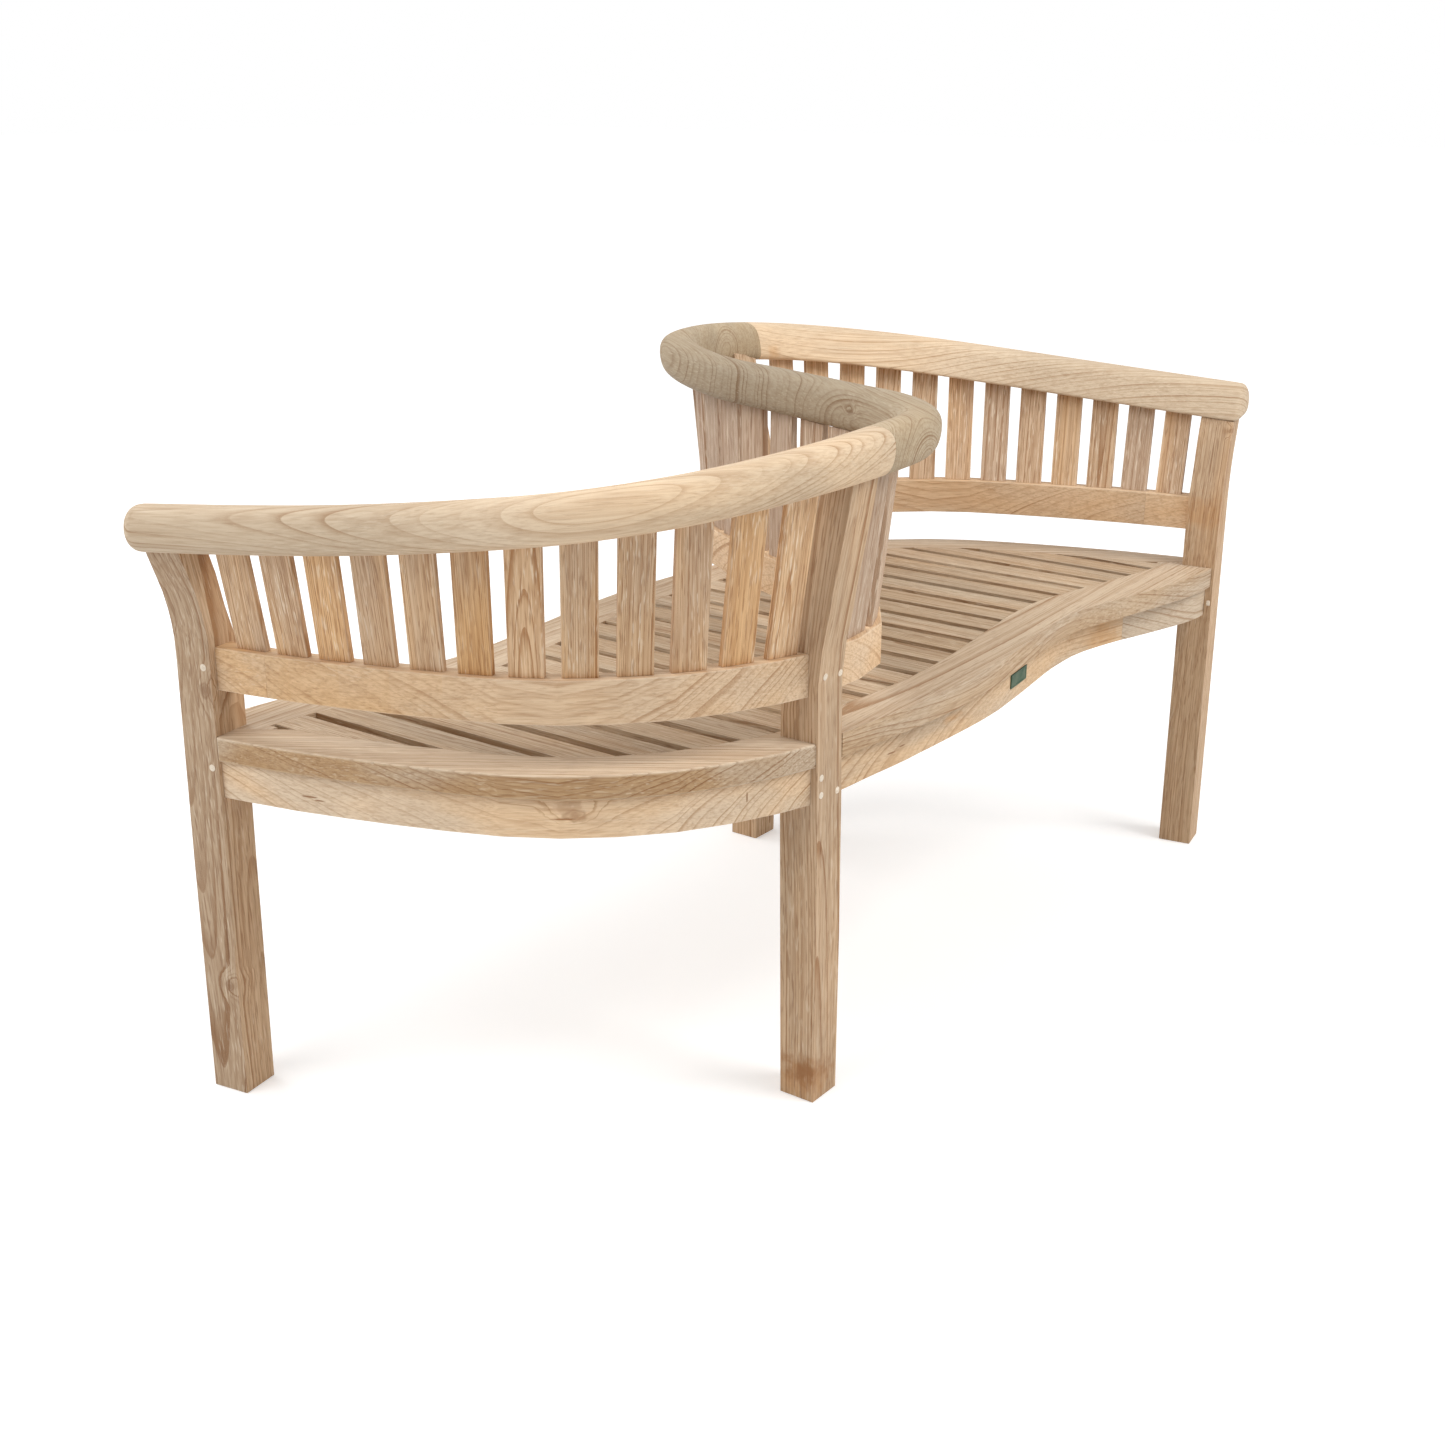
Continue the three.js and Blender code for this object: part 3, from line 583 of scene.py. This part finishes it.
# ---- Seat boards ----
# Four wide boards, 28 mm thick, that frame the seat: they are sawn to the curves, rebated for the
# seat slats, mitred at the end posts and notched round all four posts, with rounded outer edges.
board_teak = teak(
    "board_teak",
    pale=(0.700, 0.545, 0.380, 1), golden=(0.430, 0.262, 0.122, 1), grey=(0.600, 0.510, 0.400, 1),
    ring=1.3, thread=0.36, pore=0.3, fleck=0.35, patch=0.25, spacing=0.0044,
)
BOARD_EASE = 0.0026
for number, (side, turn) in enumerate(HALVES):
    for kind, first, along, pith, edge_tone_and_shade in (
        ("end_board", 93, (0.57, -0.82, 0.006), (-0.46, 0.06, 0.31), 0.85),
        ("front_board", 95, (-1, -0.03, 0.005), (-0.15, 0.22, 0.33), 0.3),
    ):
        node_name = f"{kind}_{side}"
        board = sand(node_name, BOARD_EASE)
        lay_grain(
            board, along=turned(turn, *along), face=(0.1, 0.05, 1), pith=turned(turn, *pith),
            board=first + 3 * number,
            # Faces are coloured by the way they point: the tops greyer and lighter, the edges
            # golden and much darker. The golden hue is the edge's own, and its darkness against the
            # tops is painted shade.
            tone=lambda polygon: -0.3 if polygon.normal.z > 0.7 else edge_tone_and_shade,
        )
        hand_in(board, [node_name], board_teak)


# ---- Seat slats ----
# Straight slats of 16 mm teak laid across the bench, 40 mm wide and 13.5 mm apart. They rest in the
# rebate of the boards and are screwed from below to bearers, so that each panel is one assembly.
SEAT_SLAT_EASE = 0.0014
SLAT_PITCH = 0.0537
SLAT_SHIFT = 0.03635
NEAR_SEAT_TOP = 0.4395
seat_teak = teak(
    "seat_teak",
    pale=(0.640, 0.500, 0.350, 1), golden=(0.560, 0.395, 0.235, 1), grey=(0.510, 0.430, 0.325, 1),
    ring=1.2, thread=0.46, pore=0.45, fleck=0.45, patch=0.7, spacing=0.0034,
)


def slat_number(polygon):
    """The board number of the seat slat that a face belongs to."""
    return 100 + math.floor((polygon.center.x - SLAT_SHIFT) / SLAT_PITCH + 0.5)


for node_name in ("seat_panel_a", "seat_panel_middle", "seat_panel_b"):
    panel = sand(node_name, SEAT_SLAT_EASE, 2, above=NEAR_SEAT_TOP)
    lay_grain(
        panel, along=(0.01, 1, 0.004), face=(0.15, 0, 1), pith=(0, 0, 0.36), board=slat_number,
        scatter=0.05,
    )
    hand_in(panel, [node_name], seat_teak)


# ---- Lower back rails ----
# Three curved rails, 26 mm thick, tenoned between the posts about 100 mm above the seat. The slats
# stand on them. Each end rail has a short length glued on beside its end post.
RAIL_EASE = 0.0016
rail_teak = teak(
    "lower_rail_teak",
    pale=(0.810, 0.605, 0.405, 1), golden=(0.725, 0.460, 0.228, 1), grey=(0.650, 0.500, 0.352, 1),
    ring=0.9, thread=0.32, pore=0.2, fleck=0.3, patch=0.6, spacing=0.0050,
)
for number, ((side, turn), golden_end) in enumerate(zip(HALVES, (0.75, 0.1))):
    node_name = f"lower_rail_{side}"
    lengths = sawn_in_two(
        sand(node_name, RAIL_EASE, 2), turned(turn, -0.6672, 0.205, 0.515),
        turned(turn, 0.17, -0.985, 0),
        (f"{node_name}_long_length", f"{node_name}_end_length"),
    )
    for part, length in enumerate(lengths):
        lay_grain(
            length, along=turned(turn, 0.57, -0.82, 0.01), face=turned(turn, -0.82, -0.57, 0.3),
            pith=turned(turn, -0.45, 0.05, 0.45), board=121 + 2 * number + 5 * part,
            tone=lambda polygon: clamp((polygon.center.y * turn + 0.02) / 0.2) * golden_end,
        )
        hand_in(length, [node_name], rail_teak)

rail = sand("lower_rail_centre", RAIL_EASE, 2)
lay_grain(rail, along=(0.765, 0.644, 0.01), face=(-0.64, 0.76, 0.3), pith=(0, 0, 0.47), board=131)
hand_in(rail, ["lower_rail_centre"], rail_teak)


# ---- Back slats ----
# Flat slats of 9 mm teak, housed in the lower rail and in a groove under the hand rail. They lean
# outward, and no two are cut from the same place, so their colour changes from slat to slat. The
# centre row is coloured grey and dark all through, which is painted shade.
slat_teak = teak(
    "slat_teak",
    # The grey is set dark enough to carry the painted shade of the centre row as well.
    pale=(0.800, 0.600, 0.405, 1), golden=(0.760, 0.460, 0.205, 1), grey=(0.560, 0.430, 0.325, 1),
    ring=1.4, thread=0.55, pore=0.5, fleck=0.8, patch=0.35, spacing=0.0026,
)
SLAT_EASE = 0.0011
SLAT_FEET = 0.5405  # the feet of the slats lie under this height, and
SLAT_HEADS = 0.62  # the heads over this one
FLAT_SAWN = (6, 11, 14, 17, 20, 26, 31)
slat_tones_and_shade = {
    "back_slat_a": (0.1, 0.5, 0.8, 0.5, 0.0, 1.0, 0.2, 0.3, 0.1, 0.1, 0.8, 0.2),
    "back_slat_b": (0.0, -0.8, -0.2, 0.1, -0.3, -0.7, 0.1, -0.3, 0.1, 0.2, 0.2, 0.1),
    # The centre row's grey, dark tones are painted shade.
    "centre_slat": (-1.0, -0.9, -0.8, -1.0, -0.9, -1.0, -0.8, -1.0, -0.9, -1.0, -0.8, -1.0, -0.9),
}
slats = [
    (f"{row}_{number:02d}", tone)
    for row, tones in slat_tones_and_shade.items()
    for number, tone in enumerate(tones, 1)
]
for number, (node_name, slat_tone_and_shade) in enumerate(slats):
    slat = sand(node_name, SLAT_EASE, 2)
    places = [vertex.co for vertex in slat.data.vertices]
    feet = [place for place in places if place.z < SLAT_FEET]
    heads = [place for place in places if place.z > SLAT_HEADS]
    foot = sum(feet, Vector()) / len(feet)
    head = sum(heads, Vector()) / len(heads)
    lean = (head - foot).normalized()
    face = max(slat.data.polygons, key=lambda polygon: polygon.area).normal.copy()
    width = face.cross(lean).normalized()
    # Most slats are cut through the rings, and a few along them
    if number in FLAT_SAWN:
        pith = foot - face * 0.035
    else:
        pith = foot - width * (0.09 + 0.01 * (number % 5))
    lay_grain(
        slat, along=lean + width * 0.012, face=face, pith=pith, board=140 + number, tone=slat_tone_and_shade
    )
    hand_in(slat, [node_name], slat_teak)


# ---- Hand rail ----
# One S-shaped rail of three lengths butted end to end: two long arms and a centre length that
# holds both tight bends. Each is sawn from a thick plank and shaped round, so the grain runs out
# of the wood in the bends.
arm_teak = teak(
    "arm_teak",
    pale=(0.890, 0.720, 0.525, 1), golden=(0.780, 0.560, 0.340, 1), grey=(0.580, 0.465, 0.335, 1),
    ring=0.9, thread=0.26, pore=0.12, fleck=0.25, patch=0.6, spacing=0.0054,
    marks=(("stain", (0.3558, 0.2621, 0.7375), 0.0, (0.0120, 0.0300, 0.0150)),),
)
bend_teak = teak(
    "bend_teak",
    pale=(0.535, 0.425, 0.285, 1), golden=(0.475, 0.355, 0.215, 1), grey=(0.365, 0.295, 0.205, 1),
    ring=1.2, thread=0.26, pore=0.1, fleck=0.2, patch=0.8, spacing=0.0035,
    marks=(("knot", (-0.0840, -0.1501, 0.7547), 24.0, (0.0100, 0.0035, 0.0025)),),
)


def butts_rail(node_name, point):
    """Whether a point of a length of the hand rail lies at a joint with another length."""
    names = [name for name in joint_trees if name.startswith("hand_rail") and name != node_name]
    return any(joint_trees[name].find_nearest(point, 0.0012)[0] is not None for name in names)


def shape_round(node_name):
    """Takes up a length of the faceted rail and rounds it, with its butt ends flat and crisp."""
    piece = take_up(node_name, f"{node_name}_shaped")
    ends = [
        polygon.index for polygon in piece.data.polygons if butts_rail(node_name, polygon.center)
    ]
    pick(piece, "FACE", ends)
    bpy.ops.object.mode_set(mode="EDIT")
    bpy.ops.mesh.dissolve_faces()
    bpy.ops.mesh.region_to_loop()
    bpy.ops.transform.edge_crease(value=1)
    bpy.ops.mesh.select_all(action="SELECT")
    bpy.ops.mesh.tris_convert_to_quads(
        face_threshold=math.radians(60), shape_threshold=math.radians(120)
    )
    bpy.ops.object.mode_set(mode="OBJECT")
    round_off = piece.modifiers.new("round", "SUBSURF")
    round_off.levels = 2
    round_off.render_levels = 2
    bpy.ops.object.modifier_apply(modifier=round_off.name)
    smooth(piece, 50)
    return piece


def unbend_arm(middle, facing, radius=0.53, share=0.5):
    """Lays an arm nearly straight, as it grew, from the middle of its curve and the way it faces.

    The arms are sawn from wood that grew with a share of their bend.
    """
    facing = Vector((facing[0], facing[1], 0)).normalized()
    middle = Vector((middle[0], middle[1], 0))
    along = Vector((-facing.y, facing.x, 0))

    def straight(point):
        offset = Vector((point.x, point.y, 0)) - middle
        angle = math.atan2(offset.dot(along), offset.dot(facing))
        laid_out = middle + along * angle * radius + facing * offset.length
        return point.lerp(Vector((laid_out.x, laid_out.y, point.z)), share)

    return straight


for side, turn, middle, facing, pith, board in (
    ("a", 1, (-0.1877, 0.2209), (-0.8365, -0.5480), (-0.47, 0.02, 0.60), 201),
    ("b", -1, (0.1950, -0.2170), (0.5810, 0.8140), (0.38, 0.04, 0.61), 203),
):
    node_name = f"hand_rail_end_{side}"
    rail = shape_round(node_name)
    lay_grain(
        rail, along=(facing[1], -facing[0], -0.07), face=(0, 0, 1), pith=pith, board=board,
        # Each arm is coloured greyer and darker toward its end post and paler toward the bend. This
        # is painted shade and painted light, for the stronger light that falls on the arms near the
        # bends.
        tone=lambda polygon: -0.85 * clamp((polygon.center.y * turn + 0.22) / 0.25),
        unbend=unbend_arm(middle, facing),
    )
    hand_in(rail, [node_name], arm_teak)

rail = shape_round("hand_rail_centre")
lay_grain(
    rail, along=(0.615, 0.788, 0), face=(0.1, 0, 1), pith=(-0.2193, -0.3298, 0.745), board=202,
    # The middle of the S is coloured greyer and darker than its two bends. This is painted shade on
    # the middle, which faces aside from the light, against the lit tops of the bends.
    tone=lambda polygon: -clamp(1 - abs(polygon.center.x) / 0.28),
)
hand_in(rail, ["hand_rail_centre"], bend_teak)


# ---- Plate ----
# A small bare plate of painted metal, let into the front apron of seat B under the board. Its rim
# stands a little above its field, and nothing is written on it.
plate = take_up("front_plate_b", "front_plate_b_finished")
join_flats(plate)
fronts = [polygon.index for polygon in plate.data.polygons if polygon.normal.y < -0.7]
pick(plate, "FACE", fronts)
bpy.ops.object.mode_set(mode="EDIT")
bpy.ops.mesh.inset(thickness=0.0018, depth=0)
bpy.ops.mesh.inset(thickness=0.0004, depth=-0.0005)
bpy.ops.object.mode_set(mode="OBJECT")
smooth(plate, 30)

paint = bpy.data.materials.new("plate_paint")
paint.use_nodes = True
tree = paint.node_tree
spot = add_node(tree, "ShaderNodeTexCoord").outputs["Object"]
wear = add_node(tree, "ShaderNodeTexNoise", {"Vector": spot, "Scale": 45}).outputs[0]
speckle = add_node(tree, "ShaderNodeTexNoise", {"Vector": spot, "Scale": 260, "Detail": 4})
dull = add_node(
    tree, "ShaderNodeMapRange", {0: speckle.outputs[0], "To Min": 0.45, "To Max": 0.7}
).outputs[0]
shades = add_node(tree, "ShaderNodeValToRGB", {0: wear})
darker, lighter = shades.color_ramp.elements
darker.position = 0.35
darker.color = (0.018, 0.062, 0.030, 1)
lighter.position = 0.68
lighter.color = (0.085, 0.125, 0.078, 1)
surface = tree.nodes["Principled BSDF"]
surface.inputs["Specular IOR Level"].default_value = 0.25
tree.links.new(shades.outputs[0], surface.inputs["Base Color"])
tree.links.new(dull, surface.inputs["Roughness"])
hand_in(plate, ["front_plate_b"], paint)


# ---- Studio ----
# A pale floor that keeps a soft shadow and runs out to white, one large soft light from the right
# and above, weaker ones from the left and the back, and an even grey-white room light.
LOOK_AT = Vector((0, 0, 0.4))


def shown_instead(tree, unseen, seen):
    """One shader for what the camera and mirror rays meet, and another for all other light."""
    path = add_node(tree, "ShaderNodeLightPath").outputs
    rays = add_node(
        tree, "ShaderNodeMath", {0: path["Is Camera Ray"], 1: path["Is Glossy Ray"]},
        operation="MAXIMUM",
    ).outputs[0]
    return add_node(tree, "ShaderNodeMixShader", {0: rays, 1: unseen, 2: seen}).outputs[0]


bpy.ops.mesh.primitive_plane_add(size=60, location=(0, 0, -0.0005))
floor = bpy.context.object
floor.name = "floor"
floor_finish = bpy.data.materials.new("floor_white")
floor_finish.use_nodes = True
tree = floor_finish.node_tree
surface = tree.nodes["Principled BSDF"]
surface.inputs["Base Color"].default_value = (0.82, 0.82, 0.82, 1)
surface.inputs["Roughness"].default_value = 0.9
spot = add_node(tree, "ShaderNodeTexCoord").outputs["Object"]
reach = add_node(tree, "ShaderNodeVectorMath", {0: spot}, operation="LENGTH").outputs["Value"]
# The floor gains strength away from the bench, so that it runs out to white
strength = add_node(
    tree, "ShaderNodeMapRange",
    {"Value": reach, "From Min": 0.9, "From Max": 4.5, "To Min": 0.34, "To Max": 0.57},
).outputs[0]
glow = add_node(tree, "ShaderNodeEmission", {"Strength": strength}).outputs[0]
no_light = add_node(tree, "ShaderNodeEmission", {"Strength": 0}).outputs[0]
glow = shown_instead(tree, no_light, glow)
both = add_node(tree, "ShaderNodeAddShader", {0: surface.outputs[0], 1: glow}).outputs[0]
tree.links.new(both, tree.nodes["Material Output"].inputs["Surface"])
floor.data.materials.append(floor_finish)

for name, place, size, watts in (
    ("key", (0.9, -3.1, 3.7), 2.2, 112),
    ("fill", (-2.9, 1.0, 3.2), 2.4, 66),
    ("back", (-0.4, 3.2, 3.1), 2.4, 45),
):
    lamp = bpy.data.lights.new(name, "AREA")
    lamp.size = size
    lamp.energy = watts
    light = bpy.data.objects.new(name, lamp)
    bpy.context.scene.collection.objects.link(light)
    light.location = place
    light.rotation_euler = (Vector(place) - LOOK_AT).to_track_quat("Z", "Y").to_euler()

world = bpy.data.worlds.new("room")
bpy.context.scene.world = world
world.use_nodes = True
tree = world.node_tree
room = tree.nodes["Background"]
room.inputs["Color"].default_value = (1, 1, 1, 1)
room.inputs["Strength"].default_value = 0.54
white = add_node(
    tree, "ShaderNodeBackground", {"Color": (1, 1, 1, 1), "Strength": 1}
).outputs[0]
backdrop = shown_instead(tree, room.outputs[0], white)
tree.links.new(backdrop, tree.nodes["World Output"].inputs["Surface"])

bpy.context.scene.view_settings.view_transform = "Standard"
bpy.context.view_layer.update()
